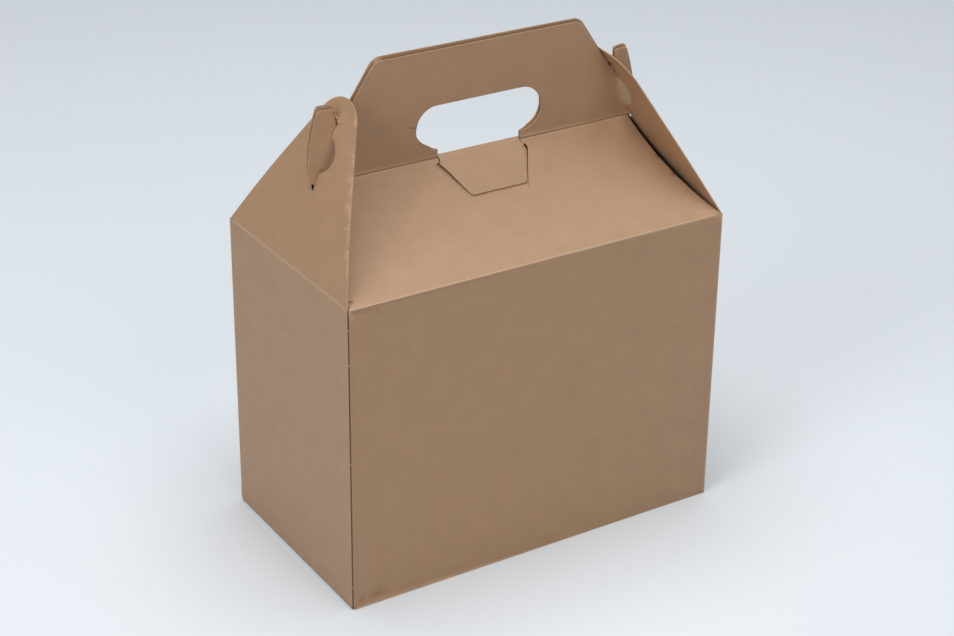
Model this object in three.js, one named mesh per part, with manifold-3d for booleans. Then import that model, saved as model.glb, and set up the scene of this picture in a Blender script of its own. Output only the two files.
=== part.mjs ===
// Gable box: a carton folded from one die-cut sheet of kraft board.
// Four walls, a snap-lock bottom, two pitched roof panels that rise into a
// double carry handle, and two end flaps that hook over the ears of the handle.
// Millimetres, +X along the front, -Y towards the front, +Z up,
// origin at the middle of the footprint on the ground.

import * as THREE from 'three';
import { mergeVertices } from 'three/addons/utils/BufferGeometryUtils.js';
import Module from 'manifold-3d';

const wasm = await Module();
wasm.setup();

// Board and box
const board = 0.6; // thickness of the kraft board
const width = 225; // outside, along the front
const depth = 127; // outside, front to back
const wallHeight = 171; // ground to the eaves
const roofRise = 38.5; // eaves to the ridge
const clearance = 0.3; // running gap between card that passes card

// Handle, measured from the ridge and from the middle of the panel
const handleHeight = 58;
const handleTopHalf = 61.3; // half the top edge, before its corners are rounded
const handleCornerRadius = 8;
const handleGap = 0.4; // air between the front and the back layer
const holeLength = 75.4;
const holeHeight = 24.5;
const holeRise = 4; // ridge to the lower edge of the hand hole
const gateWidth = 50; // opening between the hand hole and the ridge

// Ears, at both ends of each handle layer
const ridgeEndInset = 19.2; // end of the box to the end of the ridge
const earToeReach = 5.3; // how far the ear's toe passes the end of the ridge
const earToeRise = 1.8;
const earTop = 37.5;
const earTopOuterInset = 20; // end of the box to the ear's outer top corner
const earTopWidth = 8.2;
const earBulge = 3.9; // how far the outer edge swells past its two corners
const earTopRadius = 1.4;
const earSplay = 10; // degrees that the ear bends away from its layer
const earStandOff = 0.9; // bend line of the ear to the middle of the end flap
const notchDepthBelowSlot = 1.3;
const notchWidth = 2.7;
const notchRadius = 0.8;

// End flaps
const flapLean = 23.27; // degrees inwards from upright
const flapLength = 88;
const flapTipRadius = 19.5;
const flapSlotTop = 75.5; // all along the flap, from its crease
const flapSlotBottom = 41.2;
const flapEyeRise = 58; // centre of the round eye that the ears swell through
const flapEyeRadius = 9.2;
const reliefWidth = 4; // little triangle at the foot of the slot
const reliefDepth = 3;

// Roof
const roofSweep = 6.1; // how far the hollow end edge draws in from its chord

// Lock tab, cut out of the hand hole, and the window that it is pressed into
const windowShoulder = 27.3; // half width at the widest place
const windowFoot = 17.8; // half width at the lower crease
const shoulderDrop = 3.9; // ridge to the widest place
const shoulderLength = 2.5;
const windowKerf = 0.25;
const windowPress = 3.5; // degrees that the window's own card is pushed in
const tickLength = 2.7; // knife overrun at one corner of the window
const tabTipGap = 0.6; // tip of the tab to the window's lower crease
const tabShoulder = 25.9; // half width at the widest place
const tabTip = 16.9; // half width at the tip
const tabHingeRise = 1; // the tab's crease, over the ridge
const tabLift = 1.5; // degrees that the tab stands off the roof
const tabCornerRadius = 1.5;

// Glued seam at the front left corner
const glueFlapWidth = 19;
const glueLine = 0.08; // thickness of the adhesive
const glueMargin = 2.5; // bare border round the adhesive
const seamInset = 0.2; // raw edge of the front wall, in from the left face

// Snap-lock bottom
const lockFlapLength = 75; // the front and the back flap, from their creases
const dustFlapLength = 58;
const layerGap = 0.15; // air between flaps that lie on each other
const tongueHalf = 30;
const tongueRamp = 9;
const tongueLength = 14;
const recessSlack = 4; // recess of the back flap, wider than the tongue by this each side
const flapTaper = 6;
const flapChamfer = 30;
const flapSideGap = 1.2;

// Drawing detail
const beadRadius = board / 2 - 0.02; // a scored crease is squeezed a little
const beadSides = 12;
const arcSteps = 12;
const cutReach = 6; // how far a cutter passes the card on both sides
const cornerRelief = 0.5; // crease ends stay this far from the box's corners

const kraftColour = 0xb5947a;

// Sizes that follow from the ones above
const halfWidth = (width - board) / 2; // to the middle of the card
const halfDepth = (depth - board) / 2;
const ridgeHalfGap = (handleGap + board) / 2;
const ridgeHeight = wallHeight + roofRise;
const roofRun = halfDepth - ridgeHalfGap;
const roofLength = Math.hypot(roofRun, roofRise);
const roofPitch = THREE.MathUtils.radToDeg(Math.atan2(roofRise, roofRun));
const ridgeEnd = width / 2 - ridgeEndInset;
const layer = board + layerGap;
const lockCrease = board / 2; // front flap, lowest
const dustCrease = lockCrease + layer;
const backCrease = dustCrease + layer;
const tabLength = holeRise + holeHeight - tabHingeRise - clearance;
const tabSlope = THREE.MathUtils.degToRad(roofPitch - tabLift);
const overRidge = 2 * ridgeHalfGap * Math.cos(tabSlope); // tab used up between its crease and the ridge
const windowLength = tabLength - overRidge + tabTipGap; // ridge to the window's lower crease

function solid(geometry) {
  const bare = geometry.clone();
  bare.deleteAttribute('normal');
  bare.deleteAttribute('uv');
  const merged = mergeVertices(bare, 1e-4);
  return new wasm.Manifold(new wasm.Mesh({
    numProp: 3,
    vertProperties: new Float32Array(merged.attributes.position.array),
    triVerts: new Uint32Array(merged.index.array),
  }));
}

function joined(solids) {
  return solids.reduce((all, next) => all.add(next));
}

function meshOf(name, body, colour) {
  const { vertProperties, triVerts } = body.getMesh();
  const geometry = new THREE.BufferGeometry();
  geometry.setAttribute('position', new THREE.BufferAttribute(new Float32Array(vertProperties), 3));
  geometry.setIndex(new THREE.BufferAttribute(new Uint32Array(triVerts), 1));
  geometry.computeVertexNormals();
  const material = new THREE.MeshStandardMaterial({ color: colour, roughness: 0.85, metalness: 0 });
  const mesh = new THREE.Mesh(geometry, material);
  mesh.name = name;
  return mesh;
}

// Frames
// A panel is drawn flat: u runs along its crease, v away from the crease, and
// w points out of the box. A frame is the matrix that carries (u, v, w) to its place.

function frameAt(origin, u, v) {
  const w = new THREE.Vector3().crossVectors(u, v);
  return new THREE.Matrix4().makeBasis(u, v, w).setPosition(origin);
}

// The frame of the next panel over a crease. The crease passes through (u, v)
// of this panel, turned by turn degrees in its plane, and the next panel is
// folded inwards by angle degrees.
function foldedOn(frame, u, v, turn, angle) {
  return frame.clone()
    .multiply(new THREE.Matrix4().makeTranslation(u, v, 0))
    .multiply(new THREE.Matrix4().makeRotationZ(THREE.MathUtils.degToRad(turn)))
    .multiply(new THREE.Matrix4().makeRotationX(THREE.MathUtils.degToRad(-angle)));
}

// Card
function panel(outline, frame, thickness = board) {
  const flat = new THREE.ExtrudeGeometry(outline, {
    depth: thickness,
    bevelEnabled: false,
    curveSegments: arcSteps,
  });
  return solid(flat.translate(0, 0, -thickness / 2).applyMatrix4(frame));
}

function cutter(outline, frame) {
  return panel(outline, frame, 2 * cutReach);
}

// The bead of a scored crease, along u of the frame that it folds into.
function crease(frame, halfLength) {
  const bead = new THREE.CylinderGeometry(beadRadius, beadRadius, 2 * halfLength, beadSides);
  return solid(bead.rotateZ(Math.PI / 2).applyMatrix4(frame));
}

// A closed outline through corners [u, v, radius], each rounded by its radius.
function outlineOf(corners) {
  const shape = new THREE.Shape();
  corners.forEach(([u, v, radius = 0], i) => {
    const here = new THREE.Vector2(u, v);
    if (radius === 0) {
      shape[i === 0 ? 'moveTo' : 'lineTo'](u, v);
      return;
    }
    const [before, after] = [corners.at(i - 1), corners[(i + 1) % corners.length]]
      .map(([x, y]) => new THREE.Vector2(x, y).sub(here).normalize());
    const half = Math.acos(before.dot(after)) / 2;
    const centre = before.clone().add(after).normalize()
      .multiplyScalar(radius / Math.sin(half)).add(here);
    const start = here.clone().addScaledVector(before, radius / Math.tan(half));
    const end = here.clone().addScaledVector(after, radius / Math.tan(half));
    if (i === 0) shape.moveTo(start.x, start.y);
    shape.absarc(
      centre.x, centre.y, radius,
      Math.atan2(start.y - centre.y, start.x - centre.x),
      Math.atan2(end.y - centre.y, end.x - centre.x),
      before.cross(after) > 0,
    );
  });
  shape.closePath();
  return shape;
}

// The same outline on both sides of the middle: corners run up the right side.
function mirrored(corners) {
  const left = corners.map(([u, v, radius]) => [-u, v, radius]).reverse();
  return outlineOf([...corners, ...left]);
}

// Walls

// The sleeve of four walls is one strip of card seen from above. It starts at
// the raw edge of the front wall and ends in the glue flap behind that edge.
function sleeve() {
  const half = board / 2;
  const lap = board + glueLine;
  const path = [
    [-width / 2 + seamInset, -halfDepth],
    [halfWidth, -halfDepth],
    [halfWidth, halfDepth],
    [-halfWidth, halfDepth],
    [-halfWidth, -halfDepth + lap],
    [-halfWidth + glueFlapWidth, -halfDepth + lap],
  ];
  const [start, ...turns] = path;
  const end = turns.pop();
  const strip = new THREE.Shape();
  strip.moveTo(start[0], start[1] - half);
  const quarter = Math.PI / 2;
  turns.forEach(([x, y], i) => strip.absarc(x, y, half, (i - 1) * quarter, i * quarter));
  strip.lineTo(end[0], end[1] - half);
  strip.lineTo(end[0], end[1] + half);
  const inward = [[1, 1], [1, -1], [-1, -1], [-1, 1]];
  turns.reverse().forEach(([x, y], i) => strip.lineTo(x + inward[i][0] * half, y + inward[i][1] * half));
  strip.lineTo(start[0], start[1] + half);
  strip.closePath();
  const walls = new THREE.ExtrudeGeometry(strip, {
    depth: wallHeight - lockCrease,
    bevelEnabled: false,
    curveSegments: 4,
  });
  return solid(walls.translate(0, 0, lockCrease));
}

function block(x0, x1, y0, y1, z0, z1) {
  const box = new THREE.BoxGeometry(x1 - x0, y1 - y0, z1 - z0);
  return solid(box.translate((x0 + x1) / 2, (y0 + y1) / 2, (z0 + z1) / 2));
}

function adhesive() {
  const sink = board / 4;
  const x0 = -halfWidth + glueMargin;
  const x1 = -halfWidth + glueFlapWidth - glueMargin;
  const y0 = -halfDepth + board / 2 - sink;
  const y1 = -halfDepth + board / 2 + glueLine + sink;
  return block(x0, x1, y0, y1, backCrease + glueMargin, wallHeight - glueMargin);
}

// Each wall ends at its own bottom crease, a layer higher for each flap below it.
function wallFeet() {
  const out = 1;
  const inner = halfWidth - board;
  const sides = [-1, 1].map((side) => {
    const x = side > 0 ? [inner, halfWidth + out] : [-halfWidth - out, -inner];
    return block(...x, -halfDepth + board, halfDepth + out, -out, dustCrease);
  });
  const back = block(-halfWidth - out, halfWidth + out, halfDepth - board, halfDepth + out, -out, backCrease);
  return joined([...sides, back]);
}

const up = new THREE.Vector3(0, 0, 1);
const east = new THREE.Vector3(1, 0, 0);
const north = new THREE.Vector3(0, 1, 0);
const front = frameAt(new THREE.Vector3(0, -halfDepth, 0), east, up);
const back = frameAt(new THREE.Vector3(0, halfDepth, 0), east.clone().negate(), up);
const right = frameAt(new THREE.Vector3(halfWidth, 0, 0), north, up);
const left = frameAt(new THREE.Vector3(-halfWidth, 0, 0), north.clone().negate(), up);

// Roof and handle

// The end edge of a roof panel is hollow: one curve from the eaves to the ridge.
function roofOutline() {
  const eaves = halfWidth - cornerRelief;
  const sweep = (eaves + ridgeEnd) / 2 - roofSweep;
  const shape = new THREE.Shape();
  shape.moveTo(-eaves, 0);
  shape.lineTo(eaves, 0);
  shape.quadraticCurveTo(sweep, roofLength / 2, ridgeEnd, roofLength);
  shape.lineTo(-ridgeEnd, roofLength);
  shape.quadraticCurveTo(-sweep, roofLength / 2, -eaves, 0);
  return shape;
}

// Where the middle of the end flap crosses a handle layer, at height v over the ridge.
const leanSlope = Math.tan(THREE.MathUtils.degToRad(flapLean));
const leanCos = Math.cos(THREE.MathUtils.degToRad(flapLean));
function flapCrossing(v) {
  return halfWidth - leanSlope * (roofRise + v);
}

const slotTopRise = flapSlotTop * leanCos - roofRise;
const notchBottom = slotTopRise - notchDepthBelowSlot;
const notchRight = flapCrossing(notchBottom) + earStandOff - 0.4;
const earRight = width / 2 - earTopOuterInset;
const earLeft = earRight - earTopWidth;
const earToe = [ridgeEnd + earToeReach, earToeRise];

// The ear bends along a line beside the end flap. It runs from the ear's lower
// edge to the ear's inner edge, just over the bottom of the notch.
function earBend() {
  const lowSlope = earToeRise / earToeReach;
  const start = flapCrossing(0) + earStandOff;
  const lowU = (start + leanSlope * lowSlope * ridgeEnd) / (1 + leanSlope * lowSlope);
  const low = [lowU, lowSlope * (lowU - ridgeEnd)];
  const innerSlope = (earLeft - notchRight) / (earTop - notchBottom);
  const highV = (start - notchRight + innerSlope * notchBottom) / (innerSlope + leanSlope);
  const high = [notchRight + innerSlope * (highV - notchBottom), highV];
  return { low, high };
}

function handleOutline() {
  const { low, high } = earBend();
  return mirrored([
    [ridgeEnd, 0],
    low,
    high,
    [notchRight, notchBottom, notchRadius],
    [notchRight - notchWidth, notchBottom, notchRadius],
    [handleTopHalf, handleHeight, handleCornerRadius],
  ]);
}

// The loose end of an ear, right side, in the plane of its layer.
function earOutline() {
  const { low, high } = earBend();
  const top = [earRight, earTop];
  const shape = new THREE.Shape();
  shape.moveTo(...low);
  shape.lineTo(...earToe);
  shape.quadraticCurveTo(earToe[0] + earBulge / 4, earTop / 2, top[0] + earTopRadius / 2, top[1] - earTopRadius);
  shape.quadraticCurveTo(...top, top[0] - earTopRadius, top[1]);
  shape.lineTo(earLeft + earTopRadius, earTop);
  shape.quadraticCurveTo(earLeft, earTop, earLeft - earTopRadius / 8, earTop - earTopRadius);
  shape.lineTo(...high);
  return shape;
}

// Both ears of one layer, bent outwards along their lines, with the crease beads.
function ears(layerFrame) {
  const { low, high } = earBend();
  const length = Math.hypot(high[0] - low[0], high[1] - low[1]);
  const turn = THREE.MathUtils.radToDeg(Math.atan2(high[1] - low[1], high[0] - low[0]));
  const middle = [(low[0] + high[0]) / 2, (low[1] + high[1]) / 2];
  const mirror = new THREE.Matrix4().makeScale(-1, 1, 1);
  const bent = foldedOn(new THREE.Matrix4(), ...middle, turn, earSplay);
  const unturn = new THREE.Matrix4()
    .makeRotationZ(THREE.MathUtils.degToRad(-turn))
    .multiply(new THREE.Matrix4().makeTranslation(-middle[0], -middle[1], 0));
  const ear = panel(earOutline(), bent.clone().multiply(unturn));
  const bead = crease(bent, length / 2 - board / 2);
  const one = ear.add(bead);
  return joined([one, one.transform(mirror.toArray())]).transform(layerFrame.toArray());
}

function handHole(layerFrame, gateFoot) {
  const radius = holeHeight / 2;
  const straight = holeLength / 2 - radius;
  const middle = holeRise + radius;
  const slot = new THREE.Shape();
  slot.absarc(straight, middle, radius, -Math.PI / 2, Math.PI / 2);
  slot.absarc(-straight, middle, radius, Math.PI / 2, 1.5 * Math.PI);
  const gate = mirrored([[gateWidth / 2, gateFoot], [gateWidth / 2, middle]]);
  return joined([cutter(slot, layerFrame), cutter(gate, layerFrame)]);
}

// One side of the top: roof panel, ridge crease and handle layer.
function gableSide(wall) {
  const roof = foldedOn(wall, 0, wallHeight, 0, 90 - roofPitch);
  const handle = foldedOn(roof, 0, roofLength, 0, roofPitch - 90);
  const body = joined([
    crease(roof, halfWidth - cornerRelief),
    panel(roofOutline(), roof),
    crease(handle, ridgeEnd - board / 2),
    panel(handleOutline(), handle),
    ears(handle),
  ]);
  return { roof, handle, body };
}

// Window and lock tab

// Half outline from the ridge down: gate, shoulder, taper to the foot.
function windowCorners(inset, topRise) {
  return [
    [windowFoot - inset, 0],
    [windowShoulder - inset, windowLength - shoulderDrop - shoulderLength],
    [windowShoulder - inset, windowLength - shoulderDrop],
    [gateWidth / 2 - inset, windowLength - shoulderDrop + (windowShoulder - gateWidth / 2) / 2],
    [gateWidth / 2 - inset, windowLength + topRise],
  ];
}

// The window is cut on three sides. Its card stays on by the lower crease.
function withWindow(body, roof) {
  const foot = foldedOn(roof, 0, roofLength - windowLength, 0, 0);
  const pressed = foldedOn(foot, 0, 0, 0, windowPress);
  const card = joined([
    panel(mirrored(windowCorners(windowKerf, -1.5 * board)), pressed),
    crease(pressed, windowFoot - board),
  ]);
  const taper = Math.atan2(windowLength - shoulderDrop - shoulderLength, windowShoulder - windowFoot);
  const tick = outlineOf([
    [windowFoot, 0],
    [windowFoot - tickLength * Math.cos(taper), -tickLength * Math.sin(taper)],
    [windowFoot - windowKerf, 0.01],
  ]);
  return body
    .subtract(cutter(mirrored(windowCorners(0, board)), foot))
    .subtract(cutter(tick, foot))
    .add(card);
}

// The lock tab comes out of the back layer, over the ridge and down onto the front roof.
const tabAxis = new THREE.Vector3(0, ridgeHalfGap, ridgeHeight + tabHingeRise);

function tabFrame() {
  const down = new THREE.Vector3(0, -Math.cos(tabSlope), -Math.sin(tabSlope));
  return frameAt(tabAxis, east.clone().negate(), down);
}

function lockTab() {
  const frame = tabFrame();
  const half = gateWidth / 2 - 2 * windowKerf;
  const drop = shoulderDrop + overRidge + 2 * clearance;
  const outline = mirrored([
    [half, 0],
    [half, drop - (tabShoulder - half)],
    [tabShoulder, drop, tabCornerRadius / 2],
    [tabTip, tabLength, tabCornerRadius],
  ]);
  return joined([panel(outline, frame), crease(frame, half - board / 2)]);
}

// The back layer stops this far over the ridge, with a running gap under the tab.
function backGateFoot() {
  const room = board / 2 + clearance + (board / 2) * Math.sin(tabSlope);
  return tabHingeRise - room / Math.cos(tabSlope);
}

// End flaps

// Straight sides run from the crease, tangent to the round tip.
function flapOutline() {
  const base = halfDepth - cornerRelief;
  const tip = flapLength - flapTipRadius;
  const toTip = Math.hypot(base, tip);
  const side = Math.atan2(tip, base) + Math.asin(flapTipRadius / toTip) - Math.PI / 2;
  const shape = new THREE.Shape();
  shape.moveTo(-base, 0);
  shape.lineTo(base, 0);
  shape.absarc(0, tip, flapTipRadius, Math.PI / 2 - side - Math.PI / 2, Math.PI / 2 + side + Math.PI / 2);
  return shape;
}

// The ears pass a slot as wide as both layers. A round eye opens its middle.
function flapOpening() {
  const half = ridgeHalfGap + board / 2 + clearance;
  const slot = mirrored([[half, flapSlotBottom], [half, flapSlotTop, half * 0.9]]);
  const eye = new THREE.Shape();
  eye.absarc(0, flapEyeRise, flapEyeRadius, 0, 2 * Math.PI);
  const relief = outlineOf([
    [reliefWidth / 2, flapSlotBottom + board],
    [-reliefWidth / 2, flapSlotBottom + board],
    [0, flapSlotBottom + board - reliefDepth],
  ]);
  return [slot, eye, relief];
}

function endFlap(wall) {
  const frame = foldedOn(wall, 0, wallHeight, 0, flapLean);
  const holes = joined(flapOpening().map((hole) => cutter(hole, frame)));
  return panel(flapOutline(), frame).subtract(holes).add(crease(frame, halfDepth - cornerRelief));
}

// Snap-lock bottom, in the order that it is folded: back, two dust flaps, front

function bottomFlap(wall, height, corners, halfLength) {
  const frame = foldedOn(wall, 0, height, 180, 90);
  return joined([panel(mirrored(corners), frame), crease(frame, halfLength)]);
}

function backFlap() {
  const edge = halfWidth - flapSideGap;
  const recess = tongueHalf + recessSlack;
  const recessEdge = lockFlapLength - 2 * (lockFlapLength - halfDepth) - tongueRamp;
  return bottomFlap(back, backCrease, [
    [edge, 0],
    [edge - flapTaper, lockFlapLength - flapChamfer],
    [edge - flapTaper - flapChamfer, lockFlapLength, 3],
    [recess, lockFlapLength, 3],
    [recess, recessEdge, 3],
  ], halfWidth - cornerRelief);
}

function dustFlap(wall) {
  const edge = halfDepth - flapSideGap;
  return bottomFlap(wall, dustCrease, [
    [edge, 0],
    [edge - flapTaper, dustFlapLength / 3],
    [edge - flapChamfer, dustFlapLength, 4],
  ], halfDepth - cornerRelief);
}

// The front flap lies lowest. Its tongue climbs through the recess and locks on the back flap.
function frontFlap() {
  const edge = halfWidth - flapSideGap;
  const climb = backCrease + layer - lockCrease;
  const slope = THREE.MathUtils.radToDeg(Math.atan2(climb, tongueRamp));
  const rampLength = Math.hypot(climb, tongueRamp);
  const flat = foldedOn(front, 0, lockCrease, 180, 90);
  const ramp = foldedOn(flat, 0, lockFlapLength, 0, slope);
  const tip = foldedOn(ramp, 0, rampLength, 0, -slope);
  const main = bottomFlap(front, lockCrease, [
    [edge, 0],
    [edge - flapTaper, lockFlapLength - flapChamfer],
    [edge - flapTaper - flapChamfer, lockFlapLength, 3],
  ], halfWidth - cornerRelief);
  return joined([
    main,
    crease(ramp, tongueHalf - board),
    panel(mirrored([[tongueHalf, 0], [tongueHalf, rampLength]]), ramp),
    crease(tip, tongueHalf - board),
    panel(mirrored([[tongueHalf, 0], [tongueHalf, tongueLength, 5]]), tip),
  ]);
}

// The whole carton
function carton() {
  const frontSide = gableSide(front);
  const backSide = gableSide(back);
  const fronts = withWindow(frontSide.body.subtract(handHole(frontSide.handle, -board)), frontSide.roof);
  const backs = backSide.body.subtract(handHole(backSide.handle, backGateFoot()));
  return joined([
    sleeve().subtract(wallFeet()),
    adhesive(),
    backFlap(),
    dustFlap(left),
    dustFlap(right),
    frontFlap(),
    fronts,
    backs,
    endFlap(left),
    endFlap(right),
  ]);
}

const box = new THREE.Group();
box.add(meshOf('carton', carton(), kraftColour));
box.add(meshOf('lock_tab', lockTab(), kraftColour));

export default box;
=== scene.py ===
# %% [markdown]
# # A gable box in kraft board
# The carton is one sheet of brown card, cut, creased and folded into a box with a carry handle.
# The imported model already has every panel in its place, so this script dresses it: it gives the
# card its softness, its worn creases with their painted highlights and painted shade, its pale cut
# edges and its fibrous brown surface.

# %% Load the fixed frame
import math

import bmesh
import bpy
import numpy as np
from mathutils import Matrix, Vector


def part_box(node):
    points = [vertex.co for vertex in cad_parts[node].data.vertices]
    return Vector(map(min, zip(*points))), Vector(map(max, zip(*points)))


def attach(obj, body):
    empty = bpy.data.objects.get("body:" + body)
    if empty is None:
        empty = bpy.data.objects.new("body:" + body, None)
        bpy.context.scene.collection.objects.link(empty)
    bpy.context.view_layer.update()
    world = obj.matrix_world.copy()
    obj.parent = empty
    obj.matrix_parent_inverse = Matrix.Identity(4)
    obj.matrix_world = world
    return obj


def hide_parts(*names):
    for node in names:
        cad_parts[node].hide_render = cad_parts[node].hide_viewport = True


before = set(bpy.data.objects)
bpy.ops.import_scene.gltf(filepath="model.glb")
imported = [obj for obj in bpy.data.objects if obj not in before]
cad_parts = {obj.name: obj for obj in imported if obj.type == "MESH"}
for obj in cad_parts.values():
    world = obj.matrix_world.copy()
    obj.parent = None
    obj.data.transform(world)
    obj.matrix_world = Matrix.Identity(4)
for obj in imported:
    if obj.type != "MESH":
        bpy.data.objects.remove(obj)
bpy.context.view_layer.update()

# %% [markdown]
# ## Sizes
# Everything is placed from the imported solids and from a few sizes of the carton. They are
# written in millimetres, as a carton maker writes them, and MM turns them into metres.

# %% Sizes of the carton
MM = 0.001
BOARD = 0.6 * MM
low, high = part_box("carton")
HALF_WIDTH = high.x - BOARD / 2
HALF_DEPTH = high.y - BOARD / 2
EAVES = 171 * MM
RIDGE = 209.5 * MM
RIDGE_GAP = 0.5 * MM
HANDLE_HEIGHT = high.z - RIDGE
FLAP_LEAN = math.radians(23.27)
FLAP_LENGTH = 88 * MM
SLOT = (41.2 * MM, 75.5 * MM)
ROOF_RUN = HALF_DEPTH - RIDGE_GAP
ROOF_LENGTH = math.hypot(ROOF_RUN, RIDGE - EAVES)
ROOF_PITCH = math.atan2(RIDGE - EAVES, ROOF_RUN)
print("roof panel:", round(ROOF_LENGTH / MM, 1), "mm up the slope at",
      round(math.degrees(ROOF_PITCH), 1), "degrees")

# %% [markdown]
# ## The camera
# The camera was worked out from six corners of the carton in the photograph: where it stands,
# which way it looks, how much it leans over and how long its lens is. Its place is in the same
# metres as the carton, so nothing has to be fitted afterwards.

# %% Camera
CAMERA_PLACE = Vector((-0.55786, -0.87995, 0.63728))
CAMERA_TURN = math.radians(-32.395)
CAMERA_TILT = math.radians(26.792)
CAMERA_LEAN = math.radians(0.715)
FOCAL_LENGTH = 82.27
FILM_WIDTH = 36
SEES_TO = 20

looks_from = Vector((math.sin(CAMERA_TURN) * math.cos(CAMERA_TILT),
                     -math.cos(CAMERA_TURN) * math.cos(CAMERA_TILT), math.sin(CAMERA_TILT)))
level = (-looks_from).cross(Vector((0, 0, 1))).normalized()
plumb = looks_from.cross(level)
across = level * math.cos(CAMERA_LEAN) + plumb * math.sin(CAMERA_LEAN)
upward = plumb * math.cos(CAMERA_LEAN) - level * math.sin(CAMERA_LEAN)
lens = bpy.data.cameras.new("camera")
lens.sensor_fit = "HORIZONTAL"
lens.sensor_width = FILM_WIDTH
lens.lens = FOCAL_LENGTH
lens.clip_end = SEES_TO
camera = bpy.data.objects.new("camera", lens)
turned = Matrix((across, upward, looks_from)).transposed().to_4x4()
camera.matrix_world = Matrix.Translation(CAMERA_PLACE) @ turned
bpy.context.scene.collection.objects.link(camera)
bpy.context.scene.camera = camera
print("the camera is", round(CAMERA_PLACE.length, 2), "m from the carton's foot")

# %% [markdown]
# ## The flat sheet
# Each panel of a folding carton is drawn flat, so each one gets its own flat axes: u runs along
# its crease, v away from the crease, and w out of the box. The axes do three jobs below. They say
# which way a panel may bow, they lay the paper grain on the sheet, and they tell the smooth faces
# of the card from its raw cut edges.

# %% Axes of every panel
def axes(origin, u, v):
    """The matrix that carries a point of the flat panel to its place."""
    u, v = Vector(u), Vector(v)
    return Matrix.Translation(origin) @ Matrix((u, v, u.cross(v))).transposed().to_4x4()


def folded_on(parent, v, angle, turn=0.0):
    """The axes of the next panel over a crease, folded inwards by angle."""
    crease = parent @ Matrix.Translation((0, v, 0)) @ Matrix.Rotation(turn, 4, "Z")
    return crease @ Matrix.Rotation(-angle, 4, "X")


QUARTER = math.pi / 2
walls = {
    "front": axes((0, -HALF_DEPTH, 0), (1, 0, 0), (0, 0, 1)),
    "back": axes((0, HALF_DEPTH, 0), (-1, 0, 0), (0, 0, 1)),
    "right": axes((HALF_WIDTH, 0, 0), (0, 1, 0), (0, 0, 1)),
    "left": axes((-HALF_WIDTH, 0, 0), (0, -1, 0), (0, 0, 1)),
}
LAYER = 0.75 * MM
BOTTOM_REACH = 100 * MM
bottom_height = {"front": BOARD / 2, "left": BOARD / 2 + LAYER,
                 "right": BOARD / 2 + LAYER, "back": BOARD / 2 + 2 * LAYER}
panels = []
for side, wall in walls.items():
    half = HALF_WIDTH if side in ("front", "back") else HALF_DEPTH
    panels.append((side + "_wall", wall, half, EAVES))
    bottom = folded_on(wall, bottom_height[side], QUARTER, math.pi)
    panels.append((side + "_bottom", bottom, half, BOTTOM_REACH))
    if side in ("front", "back"):
        roof = folded_on(wall, EAVES, QUARTER - ROOF_PITCH)
        handle = folded_on(roof, ROOF_LENGTH, ROOF_PITCH - QUARTER)
        panels.append((side + "_roof", roof, half, ROOF_LENGTH))
        panels.append((side + "_handle", handle, half, HANDLE_HEIGHT))
    else:
        panels.append((side + "_flap", folded_on(wall, EAVES, FLAP_LEAN), half, FLAP_LENGTH))
print(len(panels), "panels:", ", ".join(panel[0] for panel in panels))

# %% [markdown]
# ## A sheet that can bend
# A solid from CAD has long thin facets, which can't bend. A copy of it is merged, and its faces
# are cut by planes a few millimetres apart. The outline stays as it was, and each panel now has
# enough points to bow. A remesh would have been quicker to write, but it would round off
# the thin cut edges that make card look like card.

# %% Copy a solid and cut its faces into a grid
GRID = 6 * MM
STEEP = 0.8
SAME_PLACE = 1e-7


def cut_across(mesh, axis, positions):
    """Cuts the faces that aren't square to one axis along planes that are."""
    normal = Vector((0, 0, 0))
    normal[axis] = 1
    for position in positions:
        near = [f for f in mesh.faces if abs(f.normal[axis]) < STEEP
                and min(v.co[axis] for v in f.verts) < position < max(v.co[axis] for v in f.verts)]
        parts = {e for f in near for e in f.edges} | {v for f in near for v in f.verts} | set(near)
        bmesh.ops.bisect_plane(mesh, geom=list(parts), dist=SAME_PLACE,
                               plane_co=normal * position, plane_no=normal)


def flexible_copy(node, name, grid):
    """A merged copy of a CAD node whose faces are small enough to bend."""
    mesh = bmesh.new()
    mesh.from_mesh(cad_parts[node].data)
    bmesh.ops.remove_doubles(mesh, verts=mesh.verts, dist=SAME_PLACE)
    mesh.normal_update()
    first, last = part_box(node)
    for axis in range(3):
        cut_across(mesh, axis, np.arange(first[axis] + grid / 2, last[axis], grid))
    data = bpy.data.meshes.new(name)
    mesh.to_mesh(data)
    mesh.free()
    piece = bpy.data.objects.new(name, data)
    bpy.context.scene.collection.objects.link(piece)
    print(name, "has", len(data.polygons), "faces")
    return piece


card = flexible_copy("carton", "carton_card", GRID)
tab = flexible_copy("lock_tab", "lock_tab_card", GRID / 2)

# %% [markdown]
# ## Which panel a point belongs to
# A point is inside a panel when it lies between the panel's ends and no more than a little over
# half a board from its plane. Some card lies off that plane: the handle's ears bend away from
# their layer, the window's card is pushed in, and the glue flap lies behind the front wall. Those
# places get more room.

# %% Find the panel of each point
OVER_HALF_BOARD = 0.6 * BOARD
EAR_ROOM = 4 * MM
EARS_FROM = 80 * MM
WINDOW_ROOM = 3 * MM
WINDOW_WITHIN = 28 * MM
WINDOW_DOWN_TO = 30 * MM
GLUE_ROOM = 1.2 * MM


def flat_place(matrix, points):
    """The places of points in a panel's own flat axes."""
    inverse = np.array(matrix.inverted())
    return points @ inverse[:3, :3].T + inverse[:3, 3]


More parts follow.
